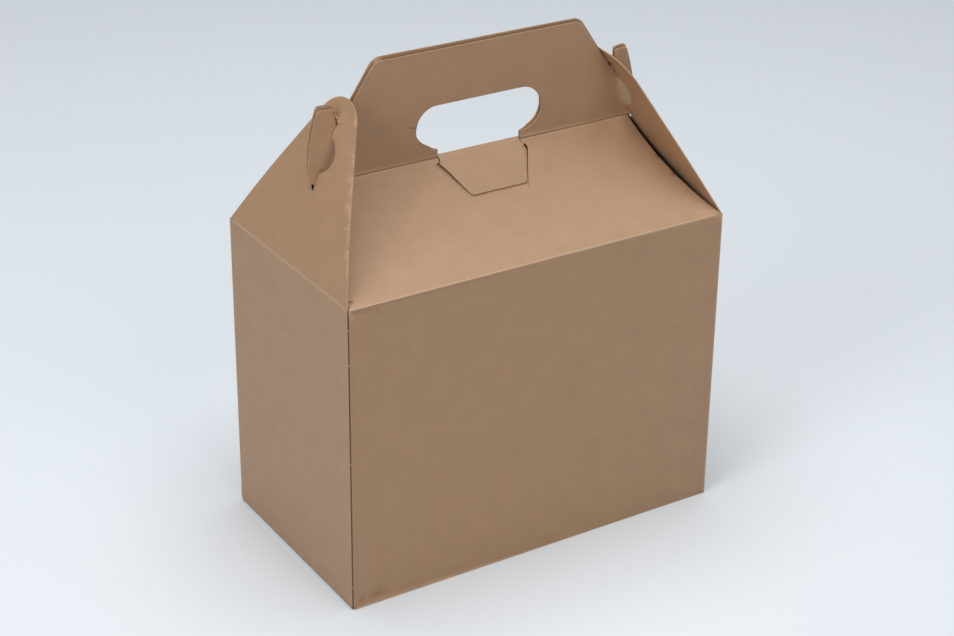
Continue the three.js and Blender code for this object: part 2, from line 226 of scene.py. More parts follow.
def inside(name, matrix, half, reach, points):
    """Which points belong to a panel, and their flat places."""
    flat = flat_place(matrix, points)
    u, v, w = np.abs(flat[:, 0]), flat[:, 1], flat[:, 2]
    inner = np.full(len(points), -OVER_HALF_BOARD)
    outer = np.full(len(points), OVER_HALF_BOARD)
    if name.endswith("handle"):
        outer[u > EARS_FROM] = EAR_ROOM
    if name == "front_roof":
        inner[(u < WINDOW_WITHIN) & (v > ROOF_LENGTH - WINDOW_DOWN_TO)] = -WINDOW_ROOM
    if name == "front_wall":
        inner[:] = -GLUE_ROOM
    found = (w > inner) & (w < outer) & (u < half + BOARD) & (v > -BOARD) & (v < reach + BOARD)
    return found, flat


print("a panel takes in", round(OVER_HALF_BOARD / MM, 2), "mm on each side of its plane")

# %% Two helpers for points
def corners_of(data):
    """The places of a mesh's points, one row each."""
    places = np.empty(len(data.vertices) * 3)
    data.vertices.foreach_get("co", places)
    return places.reshape(-1, 3)


def smooth(value, start, end):
    """Rises softly from 0 at start to 1 at end."""
    t = np.clip((value - start) / (end - start), 0, 1)
    return t * t * (3 - 2 * t)


print("the card is made of", len(card.data.vertices), "points")


# %% [markdown]
# ## Materials
# Unbleached kraft board is made of long brown fibres that lie mostly one way. Close up it shows
# faint streaks and clouds, a few dark specks of bark and some pale single fibres. Where a crease
# has been folded outwards the surface is rubbed paler, and it is lightened further by a painted
# highlight for light on the rolled crease. Where a crease is folded inwards, the shade in its valley
# is painted in dark.

# %% One helper for every node, and one for colours
def linear(code):
    """A hex colour as it is seen on a screen, turned to the linear values that Blender wants."""
    parts = [int(code[i:i + 2], 16) / 255 for i in (0, 2, 4)]
    return [c / 12.92 if c <= 0.04045 else ((c + 0.055) / 1.055) ** 2.4 for c in parts] + [1.0]


def add(tree, kind, inputs=None, **settings):
    """Adds a node with its settings. An input is a value, or a socket to link from."""
    made = tree.nodes.new(kind)
    for name, value in settings.items():
        setattr(made, name, value)
    for name, value in (inputs or {}).items():
        if isinstance(value, bpy.types.NodeSocket):
            tree.links.new(value, made.inputs[name])
        else:
            made.inputs[name].default_value = value
    return made


print("mid grey on a screen, hex 808080, is", round(linear("808080")[0], 3), "in linear light")

# %% Small parts that both finishes use, with the painted shade of the seam
SEAM_NICKS = (160.5 * MM, 141.6 * MM, 86 * MM, 13.3 * MM)
NICK_HALF = 0.5 * MM
SEAM_WIDE = (0.22 * MM, 0.36 * MM)
SEAM_DEEP = (0.6 * MM, 0.85 * MM)
# Painted shade: both finishes are darkened inside the open slit at the glued corner, for the shadow in it,
# except where fibres bridge it.
SEAM_SHADOW_STRENGTH = 0.85
SEAM_PAINTED_SHADOW = linear("2a1b10")


def maths(tree, operation, *values):
    return add(tree, "ShaderNodeMath", dict(enumerate(values)), operation=operation).outputs[0]


def fades(tree, value, full, none):
    """1 where the value is at full, 0 where it is at none."""
    node = add(tree, "ShaderNodeMapRange", {"Value": value, "From Min": none, "From Max": full},
               interpolation_type="SMOOTHSTEP")
    return node.outputs[0]


def noise(tree, place, grain, detail=2.0, stretch=(1, 1, 1)):
    """A pattern whose grains are this many metres wide."""
    at = add(tree, "ShaderNodeMapping", {"Vector": place, "Scale": [s / grain for s in stretch]})
    pattern = add(tree, "ShaderNodeTexNoise", {"Vector": at.outputs[0], "Scale": 1.0, "Detail": detail})
    return pattern.outputs[0]


def mixed(tree, factor, under, over):
    return add(tree, "ShaderNodeMix", {0: factor, 6: under, 7: over}, data_type="RGBA").outputs[2]


def in_the_seam(tree):
    """1 inside the open slit of the glued corner, except where a fibre still bridges it."""
    place = add(tree, "ShaderNodeTexCoord").outputs["Object"]
    x, y, z = add(tree, "ShaderNodeSeparateXYZ", {0: place}).outputs
    slit = maths(tree, "MULTIPLY", fades(tree, x, -HALF_WIDTH + SEAM_WIDE[0], -HALF_WIDTH + SEAM_WIDE[1]),
                 fades(tree, y, -HALF_DEPTH + SEAM_DEEP[0], -HALF_DEPTH + SEAM_DEEP[1]))
    for height in SEAM_NICKS:
        slit = maths(tree, "SUBTRACT", slit, maths(tree, "COMPARE", z, height, NICK_HALF))
    return maths(tree, "MAXIMUM", slit, 0.0)


def paint_seam_shadow(tree, colour):
    """Paints the shade of the slit into a colour: darker inside the slit."""
    return mixed(tree, maths(tree, "MULTIPLY", in_the_seam(tree), SEAM_SHADOW_STRENGTH), colour, SEAM_PAINTED_SHADOW)


print("fibres bridge the glued corner at", len(SEAM_NICKS), "heights")

# %% Colours of kraft board
KRAFT_LIGHT = linear("b08a6a")
KRAFT_DEEP = linear("a88364")
# Wear and painted highlight: the pale colour of outward creases stands for rubbed fibres and for light on
# the rolled crease.
RUBBED_AND_HIGHLIT = linear("c9aa8c")
# Painted shade: the dark colour of inward creases stands for the shade in their valley.
VALLEY_SHADOW_COLOUR = linear("6b4c33")
BARK_SPECK = linear("7d5a3d")
PALE_FIBRE = linear("c4a484")
print("the board's colours lie between", [round(c, 3) for c in KRAFT_DEEP[:3]], "and",
      [round(c, 3) for c in KRAFT_LIGHT[:3]])

# %% Grain of kraft board
CLOUD_SIZE = 14 * MM
STREAK_SIZE = 0.8 * MM
TOOTH_SIZE = 0.6 * MM
SPECK_SIZE = 1.1 * MM
FIBRE_SIZE = 0.5 * MM
CLOUD_SHARE = 0.45
STREAK_SHARE = 0.3
TOOTH_SHARE = 0.25
SPECK_SHADE = 0.35
FIBRE_SHADE = 0.3


def grained(tree, sheet, tooth):
    """Clouds, streaks, bark specks and pale fibres, all drawn out along the sheet."""
    clouds = noise(tree, sheet, CLOUD_SIZE, 3.0)
    streaks = noise(tree, sheet, STREAK_SIZE, 2.0, (0.1, 1, 1))
    tone = maths(tree, "ADD", maths(tree, "MULTIPLY", clouds, CLOUD_SHARE),
                 maths(tree, "MULTIPLY", streaks, STREAK_SHARE))
    tone = maths(tree, "ADD", tone, maths(tree, "MULTIPLY", tooth, TOOTH_SHARE))
    colour = mixed(tree, fades(tree, tone, 0.68, 0.32), KRAFT_DEEP, KRAFT_LIGHT)
    specks = fades(tree, noise(tree, sheet, SPECK_SIZE, 1.0, (0.5, 1, 1)), 0.78, 0.71)
    colour = mixed(tree, maths(tree, "MULTIPLY", specks, SPECK_SHADE), colour, BARK_SPECK)
    fibres = fades(tree, noise(tree, sheet, FIBRE_SIZE, 0.0, (0.12, 1, 1)), 0.82, 0.72)
    return mixed(tree, maths(tree, "MULTIPLY", fibres, FIBRE_SHADE), colour, PALE_FIBRE)


print("the grain's patterns are", FIBRE_SIZE / MM, "to", CLOUD_SIZE / MM, "mm across")

# %% Wear at the creases, with painted highlights and painted shade
RAGGED = 0.8 * MM
RUBBED_AND_HIGHLIT_WIDTH = (0.25 * MM, 1.1 * MM)
RIM_INNER = (0.9 * MM, 0.5 * MM)
RIM_OUTER = (1.2 * MM, 1.8 * MM)
VALLEY_SHADOW_WIDTH = (0.3 * MM, 0.6 * MM)
RUBBED_AND_HIGHLIT_STRENGTH = 0.4
RIM_SHADE = 0.25
VALLEY_SHADOW_STRENGTH = 0.75


def worn(tree, colour, tooth):
    """Lightens outward creases, as wear and painted highlight, and paints shade into inward ones."""
    creases = add(tree, "ShaderNodeAttribute", attribute_name="folded_out").outputs["Vector"]
    nearest = add(tree, "ShaderNodeSeparateXYZ", {0: creases}).outputs
    distance = maths(tree, "MINIMUM", maths(tree, "MINIMUM", nearest[0], nearest[1]), nearest[2])
    ragged = maths(tree, "MULTIPLY", maths(tree, "SUBTRACT", tooth, 0.5), RAGGED)
    # Outward creases: rubbed paler, with a painted highlight.
    rubbed = fades(tree, maths(tree, "ADD", distance, ragged), *RUBBED_AND_HIGHLIT_WIDTH)
    colour = mixed(tree, maths(tree, "MULTIPLY", rubbed, RUBBED_AND_HIGHLIT_STRENGTH), colour, RUBBED_AND_HIGHLIT)
    valley = add(tree, "ShaderNodeAttribute", attribute_name="folded_in").outputs["Fac"]
    # A pale band from 0.5 to 1.8 mm beside an inward crease, in the same colour.
    rim = maths(tree, "MULTIPLY", fades(tree, valley, *RIM_INNER), fades(tree, valley, *RIM_OUTER))
    colour = mixed(tree, maths(tree, "MULTIPLY", rim, RIM_SHADE), colour, RUBBED_AND_HIGHLIT)
    # Inward creases: painted shade in the valley.
    valley_shadow = maths(tree, "MULTIPLY", fades(tree, valley, *VALLEY_SHADOW_WIDTH), VALLEY_SHADOW_STRENGTH)
    return mixed(tree, valley_shadow, colour, VALLEY_SHADOW_COLOUR)


print("creases are rubbed for", RUBBED_AND_HIGHLIT_WIDTH[1] / MM, "mm on each side")

# %% Kraft board, machine finished
FACE_ROUGHNESS = 0.55
TOOTH_DEPTH = 0.1 * MM
TOOTH_STRENGTH = 0.12


def kraft_board():
    """Soft sheen, faint streaks along the sheet, worn creases, painted highlights and painted shade."""
    material = bpy.data.materials.new("kraft_board_machine_finished")
    material.use_nodes = True
    tree = material.node_tree
    tree.nodes.clear()
    sheet = add(tree, "ShaderNodeUVMap", uv_map="sheet").outputs[0]
    tooth = noise(tree, sheet, TOOTH_SIZE, 1.0, (0.6, 1, 1))
    # The painted highlights and painted shade at the creases, then the painted shade of the seam's slit,
    # go into the colour.
    colour = paint_seam_shadow(tree, worn(tree, grained(tree, sheet, tooth), tooth))
    bump = add(tree, "ShaderNodeBump", {
        "Height": tooth, "Strength": TOOTH_STRENGTH, "Distance": TOOTH_DEPTH})
    shader = add(tree, "ShaderNodeBsdfPrincipled", {
        "Base Color": colour, "Roughness": FACE_ROUGHNESS, "IOR": 1.5, "Normal": bump.outputs[0]})
    add(tree, "ShaderNodeOutputMaterial", {"Surface": shader.outputs[0]})
    return material


board_finish = kraft_board()
print("material:", board_finish.name)

# %% [markdown]
# ## The cut edge and its fibres
# A steel rule stamps the sheet out, and leaves torn fibres where the rolled face would be. A mask in
# the board's own material could show that too. Two small materials are easier to read and to change,
# and the loose fibres need one of their own anyway.

# %% Kraft board, die-cut edge
EDGE_DEEP = linear("a88868")
EDGE_PALE = linear("bc9c7d")
FUZZ_SIZE = 0.8 * MM
EDGE_ROUGHNESS = 0.9


def raw_edge():
    """The torn fibres of a cut edge have no sheen, and are a little paler than the face."""
    material = bpy.data.materials.new("kraft_board_die_cut_edge")
    material.use_nodes = True
    tree = material.node_tree
    tree.nodes.clear()
    place = add(tree, "ShaderNodeTexCoord").outputs["Object"]
    fuzz = noise(tree, place, FUZZ_SIZE)
    # The painted shade of the seam's slit is laid on the cut edges too.
    colour = paint_seam_shadow(tree, mixed(tree, fades(tree, fuzz, 0.62, 0.38), EDGE_DEEP, EDGE_PALE))
    shader = add(tree, "ShaderNodeBsdfPrincipled", {
        "Base Color": colour, "Roughness": EDGE_ROUGHNESS, "IOR": 1.45})
    add(tree, "ShaderNodeOutputMaterial", {"Surface": shader.outputs[0]})
    return material


# %% Loose kraft fibre
def loose_fibre():
    """Single fibres are pale and dull."""
    material = bpy.data.materials.new("kraft_fibre_loose")
    material.use_nodes = True
    shader = material.node_tree.nodes["Principled BSDF"]
    shader.inputs["Base Color"].default_value = linear("c4a27f")
    shader.inputs["Roughness"].default_value = EDGE_ROUGHNESS
    return material


edge_finish = raw_edge()
fibre_finish = loose_fibre()
print("materials:", edge_finish.name, fibre_finish.name)

# %% [markdown]
# ## Laying the grain on the sheet
# The pattern has to run along each panel as it did on the roll, and turn with it. So every corner
# of every face gets its flat place, in metres, as a UV map, while the panels are still flat. Each
# corner also keeps how far it is from the creases that fold outwards and inwards, for the wear and
# for the painted highlights and painted shade there.
# A face whose normal lies in its panel's plane is a raw cut edge, and gets the edge finish.

# %% The panel of each face
TURNED_AWAY = 5 * MM


def owners_of(data, sheet_panels):
    """The panel that each face belongs to."""
    faces = data.polygons
    centres, normals = np.empty(len(faces) * 3), np.empty(len(faces) * 3)
    faces.foreach_get("center", centres)
    faces.foreach_get("normal", normals)
    centres, normals = centres.reshape(-1, 3), normals.reshape(-1, 3)
    best, owner = np.full(len(faces), np.inf), np.zeros(len(faces), int)
    for index, (name, matrix, half, reach) in enumerate(sheet_panels):
        flat = flat_place(matrix, centres)
        out = np.array(matrix)[:3, 2]
        beyond = np.maximum(np.abs(flat[:, 0]) - half, 0) + np.maximum(-flat[:, 1], 0)
        beyond += np.maximum(flat[:, 1] - reach, 0)
        away = np.abs(flat[:, 2]) + beyond + TURNED_AWAY * (1 - np.abs(normals @ out))
        nearer = away < best
        best[nearer], owner[nearer] = away[nearer], index
    return owner, normals


print("a face square to a panel counts as", TURNED_AWAY / MM, "mm further from it")

# %% Distances to the creases
FAR = 1.0
FOLDED_OUT = {"wall": (True, True, True), "roof": (True, False, False), "flap": (True, False, False),
              "bottom": (True, False, False)}


def crease_distances(name, half, reach, flat):
    """Distances to the panel's creases: those folded outwards, then the one folded inwards."""
    lower, upper, side = FOLDED_OUT.get(name.split("_")[-1], (False, False, False))
    out = np.full((len(flat), 3), FAR)
    inward = np.full(len(flat), FAR)
    if lower:
        out[:, 0] = np.abs(flat[:, 1])
    if upper:
        out[:, 1] = np.abs(reach - flat[:, 1])
    if side:
        glued = (name == "front_wall") & (flat[:, 0] < 0) | (name == "left_wall") & (flat[:, 0] > 0)
        out[:, 2] = np.where(glued, FAR, np.abs(half - np.abs(flat[:, 0])))
    if name.endswith("roof"):
        inward = np.abs(reach - flat[:, 1])
    if name.endswith("handle"):
        inward = np.abs(flat[:, 1])
    return out, inward


print("panels with creases that fold outwards:", ", ".join(FOLDED_OUT))

# %% Lay the grain on a piece
SHEET_STEP = (0.7, 0.3)
EDGE_ON = 0.3
SHARP = math.radians(35)


def keep(data, name, kind, domain, values):
    """Stores a value for each point, corner or face of a mesh, under a name that nodes can read."""
    field = "vector" if kind == "FLOAT_VECTOR" else "value"
    data.attributes.new(name, kind, domain).data.foreach_set(field, values.ravel())


def lay_grain(piece, sheet_panels):
    """Gives every corner its flat place and its creases, and every face its finish."""
    data = piece.data
    owner, normals = owners_of(data, sheet_panels)
    corner_of = np.empty(len(data.loops), int)
    data.loops.foreach_get("vertex_index", corner_of)
    face_of = np.repeat(np.arange(len(data.polygons)), [f.loop_total for f in data.polygons])
    places = corners_of(data)[corner_of]
    sheet_uv = np.zeros((len(data.loops), 2))
    folded_out, folded_in = np.full((len(data.loops), 3), FAR), np.full(len(data.loops), FAR)
    raw = np.zeros(len(data.polygons), int)
    for index, (name, matrix, half, reach) in enumerate(sheet_panels):
        mine = owner[face_of] == index
        flat = flat_place(matrix, places[mine])
        sheet_uv[mine] = flat[:, :2] + index * np.array(SHEET_STEP)
        folded_out[mine], folded_in[mine] = crease_distances(name, half, reach, flat)
        raw[(owner == index) & (np.abs(normals @ np.array(matrix)[:3, 2]) < EDGE_ON)] = 1
    data.uv_layers.new(name="sheet").data.foreach_set("uv", sheet_uv.ravel())
    keep(data, "folded_out", "FLOAT_VECTOR", "CORNER", folded_out)
    keep(data, "folded_in", "FLOAT", "CORNER", folded_in)
    keep(data, "cut_edge", "BOOLEAN", "FACE", raw.astype(bool))
    data.materials.clear()
    data.materials.append(board_finish)
    data.materials.append(edge_finish)
    data.polygons.foreach_set("material_index", raw)
    data.polygons.foreach_set("use_smooth", np.ones(len(data.polygons), bool))
    data.set_sharp_from_angle(angle=SHARP)
    print(piece.name, "has", int(raw.sum()), "faces on its cut edges")


# %% Lay it on the card and on the tab
TAB_AXIS_RISE = 1 * MM
TAB_AXIS = Vector((0, RIDGE_GAP, RIDGE + TAB_AXIS_RISE))
TAB_SLOPE = math.radians(30.05)
TAB_HALF = 26 * MM
TAB_LENGTH = 28 * MM


def tab_axes(slope):
    """The flat axes of the tab when it slopes down to the front from its crease."""
    return axes(TAB_AXIS, (-1, 0, 0), (0, -math.cos(slope), -math.sin(slope)))


lay_grain(card, panels)
lay_grain(tab, [("tab", tab_axes(TAB_SLOPE), TAB_HALF, TAB_LENGTH)])

# %% [markdown]
# ## How the card bends
# Folding board is stiff, yet no panel of a made-up box is dead flat. The end flaps turn in at
# their tips, the walls are slightly hollow, and the ears of both handle layers lean to the back.
# The back layer has ridden up a little over the front one. These are plain curves, so they are
# sums on the points. Most of them are nothing at a crease, because a crease holds the sheet
# straight. Only the back layer's rise takes its own crease along.

# %% Curves of the end flaps and walls
TIP_BEND = {"right_flap": (70 * MM, 3.8 * MM), "left_flap": (60 * MM, 1.5 * MM)}
SWELL = {"right_flap": 0.0, "left_flap": 1.0 * MM}
SWELL_LENGTH = 60 * MM
TIP_CURVE = 1.5
HOLLOW = 0.5 * MM
SLIT = 0.5 * MM
SLIT_STRIP = 4 * MM


def bend_flap(name, flat):
    """Swells a flap outwards, and turns its tip in."""
    past = np.clip(flat[:, 1] - TIP_BEND[name][0], 0, None)
    shift = SWELL[name] * np.sin(math.pi * np.clip(flat[:, 1] / SWELL_LENGTH, 0, 1))
    flat[:, 2] += shift - TIP_BEND[name][1] * (past / (FLAP_LENGTH - TIP_BEND[name][0])) ** TIP_CURVE


def bend_wall(name, half, reach, flat):
    """Makes a wall slightly hollow, and opens a slit at the glued corner."""
    level = np.cos(QUARTER * np.clip(flat[:, 0] / half, -1, 1))
    if name == "front_wall":
        seam = (flat[:, 0] < -half + SLIT_STRIP) & (flat[:, 2] > -OVER_HALF_BOARD)
        flat[seam, 0] += (SLIT * smooth(-flat[:, 0], half - SLIT_STRIP, half))[seam]
    flat[:, 2] -= HOLLOW * level * np.sin(math.pi * np.clip(flat[:, 1] / reach, 0, 1))


print("walls are hollow by", HOLLOW / MM, "mm, and the right flap's tip turns in by",
      TIP_BEND["right_flap"][1] / MM, "mm")

# %% Curves of the roof
ROOF_END_HOLLOW = 6.1 * MM
RIGHT_END_HOLLOW = 2.2 * MM
RIDGE_HALF = 93.3 * MM
STIFF_MIDDLE = 45 * MM
END_CURVE = 1.5
WINDOW_LENGTH = 26.93 * MM
WINDOW_SHORTER = 1.2 * MM
WINDOW_EASE = 20 * MM
WINDOW_SIDES = (26 * MM, 36 * MM)


def bend_roof(name, half, flat):
    """Straightens the ends and moves the window's foot. The sag itself is added further on."""
    u, v = flat[:, 0].copy(), flat[:, 1].copy()
    t = np.clip(v / ROOF_LENGTH, 0, 1)
    edge = half + (RIDGE_HALF - half) * t - 2 * ROOF_END_HOLLOW * t * (1 - t)
    weight = np.clip((np.abs(u) - STIFF_MIDDLE) / (edge - STIFF_MIDDLE), 0, 1) ** END_CURVE
    kept_hollow = np.where((name == "front_roof") & (u > 0), RIGHT_END_HOLLOW, 0)
    flat[:, 0] += np.sign(u) * 2 * (ROOF_END_HOLLOW - kept_hollow) * t * (1 - t) * weight
    if name == "front_roof":
        foot = ROOF_LENGTH - WINDOW_LENGTH
        along = np.where(v > foot, (ROOF_LENGTH - v) / WINDOW_LENGTH, smooth(v, foot - WINDOW_EASE, foot))
        flat[:, 1] += WINDOW_SHORTER * np.clip(along, 0, 1) * (1 - smooth(np.abs(u), *WINDOW_SIDES))


print("the roof's ends are filled out by up to", ROOF_END_HOLLOW / MM / 2, "mm")

# %% Curves of the handle
EAR_BEND = math.radians(10)
EAR_STAND_OFF = 0.9 * MM
TOE_LOWER = 1.2 * MM
EAR_HIGHER = 0.5 * MM
RIM_HIGHER = 0.5 * MM
EAR_LOOSE = 3 * MM
TOE_FROM = 1.8 * MM
TOE_FADE = 10 * MM
EAR_TOP_FROM = 20 * MM
EAR_TOP_FADE = 17.5 * MM
RIM_FROM = 4 * MM
RIM_TO = 16 * MM
RIM_FADE = 12 * MM
RIM_SIDES = (38 * MM, 50 * MM)


def bend_handle(name, flat):
    """Leans the front ears to the back, as the back ones do, and trims toes, tops and hand hole."""
    u, v = np.abs(flat[:, 0]), flat[:, 1].copy()
    line = HALF_WIDTH - math.tan(FLAP_LEAN) * (RIDGE - EAVES + v) + EAR_STAND_OFF
    beyond = np.clip((u - line) * math.cos(FLAP_LEAN), 0, None)
    if name == "front_handle":
        flat[:, 2] -= 2 * math.tan(EAR_BEND) * beyond
    loose = np.clip(beyond / EAR_LOOSE, 0, 1)
    flat[:, 1] -= TOE_LOWER * loose * np.clip(1 - (v - TOE_FROM) / TOE_FADE, 0, 1)
    flat[:, 1] += EAR_HIGHER * loose * np.clip((v - EAR_TOP_FROM) / EAR_TOP_FADE, 0, 1)
    rim = np.minimum(np.clip(v / RIM_FROM, 0, 1), np.clip((RIM_TO - v) / RIM_FADE, 0, 1))
    flat[:, 1] += RIM_HIGHER * rim * (1 - smooth(u, *RIM_SIDES))


print("the ears lean back by", round(math.degrees(EAR_BEND), 1), "degrees")

# %% The back layer rides up
BESIDE_TAB = (25.2 * MM, 31 * MM)
ABOVE_TAB = (12 * MM, 22 * MM)
RISE = 1.7 * MM
RISE_TILT = 0.3 * MM
RISE_TILT_AT = 90 * MM
STEP_BACK = 0.5 * MM


def ride_up(points):
    """How far the back layer stands above and behind the front one, away from the tab."""
    x, z = points[:, 0], points[:, 2]
    clear_of_tab = np.maximum(smooth(np.abs(x), *BESIDE_TAB),
                              smooth(z, RIDGE + ABOVE_TAB[0], RIDGE + ABOVE_TAB[1]))
    ramp = np.clip((z - EAVES) / (RIDGE - EAVES), 0, 1) ** 2
    moved = np.zeros_like(points)
    moved[:, 2] = (RISE - RISE_TILT * x / RISE_TILT_AT) * clear_of_tab * ramp
    moved[:, 1] = STEP_BACK * clear_of_tab * smooth(z, RIDGE, RIDGE + ABOVE_TAB[0])
    return moved


print("the back layer stands", RISE / MM, "mm higher in the middle")

# %% Where the card is free to be uneven
HELD_BY_CREASE = 15 * MM
HELD_BY_SIDE = 12 * MM
BESIDE_WINDOW = (30 * MM, 45 * MM)
BELOW_WINDOW = (30 * MM, 40 * MM)


def freedom(name, half, reach, u, v):
    """0 where a crease, a side or the window holds the card, and 1 where nothing does."""
    free = smooth(v, 0, HELD_BY_CREASE)
    if name.endswith(("wall", "roof")):
        free = free * smooth(reach - v, 0, HELD_BY_CREASE) * smooth(half - u, 0, HELD_BY_SIDE)
    if name == "front_roof":
        free = free * np.maximum(smooth(u, *BESIDE_WINDOW), smooth(reach - v, *BELOW_WINDOW))
    return free


print("creases hold the card for", HELD_BY_CREASE / MM, "mm")

# %% Bend every panel
SLOT_HALF = 1.05 * MM
TOE_ROOM = 4 * MM
CREASE_ROOM = 1 * MM


def bend_card(points):
    """The bent places of the card, with its outward directions, roof heights and slack."""
    moved, out = points.copy(), np.zeros_like(points)
    roof_height, slack = np.zeros(len(points)), np.zeros(len(points))
    taken = np.zeros(len(points), bool)
    rises = np.zeros(len(points), bool)
    for name, matrix, half, reach in sorted(panels, key=lambda panel: not panel[0].endswith("flap")):
        found, flat = inside(name, matrix, half, reach, points)
        v = flat[:, 1].copy()
        if name.endswith("flap"):
            found &= (np.abs(flat[:, 0]) > SLOT_HALF) | (v < SLOT[0] - TOE_ROOM) | (v > SLOT[1])
        found &= ~taken
        if name.endswith("flap"):
            bend_flap(name, flat)
            taken |= found & (v > CREASE_ROOM)
        elif name.endswith("wall"):
            bend_wall(name, half, reach, flat)
        elif name.endswith("roof"):
            bend_roof(name, half, flat)
            roof_height[found] = np.clip(v[found] / reach, 0, 1)
        elif name.endswith("handle"):
            bend_handle(name, flat)
        else:
            continue
        rises |= found & (name in ("back_roof", "back_handle"))
        placed = flat @ np.array(matrix)[:3, :3].T + np.array(matrix)[:3, 3]
        moved[found] += (placed - points)[found]
        out[found] = (0, -1, 0) if name.endswith("handle") else np.array(matrix)[:3, 2]
        slack[found] = freedom(name, half, reach, np.abs(flat[:, 0]), v)[found]
    moved[rises] += ride_up(points)[rises]
    return moved, out, roof_height, slack


places = corners_of(card.data)
bent, out, roof_height, slack = bend_card(places)
print("the furthest point moved", round(np.abs(bent - places).max() / MM, 2), "mm")
card.data.vertices.foreach_set("co", bent.ravel())
keep(card.data, "out", "FLOAT_VECTOR", "POINT", out)
keep(card.data, "roof_height", "FLOAT", "POINT", roof_height)
keep(card.data, "slack", "FLOAT", "POINT", slack)

# %% [markdown]
# ## The tab
# The tab is tucked into its window, so it slopes more than the roof does. It turns about its own
# crease, and its edges curl down a little at both sides. A Simple Deform modifier would bend the
# whole tab evenly, and this curl is only at the sides, so it is a sum on the points too. Its left
# side is also drawn in, as in the photograph.

# %% Turn the tab down into its window
TAB_TUCKED = TAB_SLOPE + math.radians(8.5)
TAB_LENGTH_KEPT = 0.978
TAB_CURL = 0.45 * MM
TAB_DRAWN_IN = 0.045
DRAWN_IN_FROM = (3 * MM, 10 * MM)
CURLED_FROM = (2 * MM, 9 * MM)
flat = flat_place(tab_axes(TAB_SLOPE), corners_of(tab.data))
flat[:, 1] *= TAB_LENGTH_KEPT
drawn_in = np.where(flat[:, 0] > 0, TAB_DRAWN_IN, 0) * smooth(flat[:, 1], *DRAWN_IN_FROM)
flat[:, 0] *= 1 - drawn_in
flat[:, 2] -= TAB_CURL * (np.abs(flat[:, 0]) / TAB_HALF) ** 4 * smooth(flat[:, 1], *CURLED_FROM)
tucked = np.array(tab_axes(TAB_TUCKED))
tab.data.vertices.foreach_set("co", (flat @ tucked[:3, :3].T + tucked[:3, 3]).ravel())
tab.data.update()
print("the tab slopes at", round(math.degrees(TAB_TUCKED), 1), "degrees")

# %% [markdown]
# ## Sag, slack and fibres by rule
# Two node trees finish the card. The first bows both roof panels into the box as one arc, and adds
# the slow unevenness of card that has been handled. The second puts loose fibres along the raw
# cut edges. Their sizes are named inputs, so a drier or a slacker card needs only other numbers.

# %% A tree for the sag and the slack
def new_tree(name, sizes):
    """A tree of nodes with geometry in and out, and named inputs for its sizes."""
    tree = bpy.data.node_groups.new(name, "GeometryNodeTree")
    tree.interface.new_socket("Geometry", in_out="OUTPUT", socket_type="NodeSocketGeometry")
    tree.interface.new_socket("Geometry", in_out="INPUT", socket_type="NodeSocketGeometry")
    for label, kind in sizes:
        tree.interface.new_socket(label, in_out="INPUT", socket_type=kind)
    return tree, add(tree, "NodeGroupInput").outputs


def stored(tree, name, kind):
    """Reads a value that was kept on the mesh."""
    node = add(tree, "GeometryNodeInputNamedAttribute", {"Name": name}, data_type=kind)
    return next(socket for socket in node.outputs if socket.enabled)


def sag_and_slack():
    """Bows the roof into the box as one arc, and lets free card wander in and out."""
    tree, given = new_tree("sag_and_slack", [
        ("Roof sag", "NodeSocketFloat"), ("Slack", "NodeSocketFloat"),
        ("Slack length", "NodeSocketFloat"), ("Seed", "NodeSocketFloat")])
    height = stored(tree, "roof_height", "FLOAT")
    arc = maths(tree, "MULTIPLY", height, maths(tree, "SUBTRACT", 1.0, height))
    sag = maths(tree, "MULTIPLY", maths(tree, "MULTIPLY", arc, 4.0), given["Roof sag"])
    place = add(tree, "GeometryNodeInputPosition").outputs[0]
    waves = add(tree, "ShaderNodeTexNoise", {
        "Vector": place, "W": given["Seed"], "Detail": 0.0,
        "Scale": maths(tree, "DIVIDE", 1.0, given["Slack length"])}, noise_dimensions="4D").outputs[0]
    swing = maths(tree, "MULTIPLY", maths(tree, "SUBTRACT", waves, 0.5), 2.0)
    swing = maths(tree, "MULTIPLY", maths(tree, "MULTIPLY", swing, given["Slack"]),
                  stored(tree, "slack", "FLOAT"))
    outwards = maths(tree, "SUBTRACT", swing, sag)
    shift = add(tree, "ShaderNodeVectorMath", {
        0: stored(tree, "out", "FLOAT_VECTOR"), "Scale": outwards}, operation="SCALE")
    bowed = add(tree, "GeometryNodeSetPosition", {
        "Geometry": given["Geometry"], "Offset": shift.outputs[0]})
    add(tree, "NodeGroupOutput", {"Geometry": bowed.outputs[0]})
    return tree


bowing = sag_and_slack()
print(bowing.name, "has", len(bowing.nodes), "nodes")

# %% A tree for the loose fibres
CLEAR_OF_FLOOR = 5 * MM


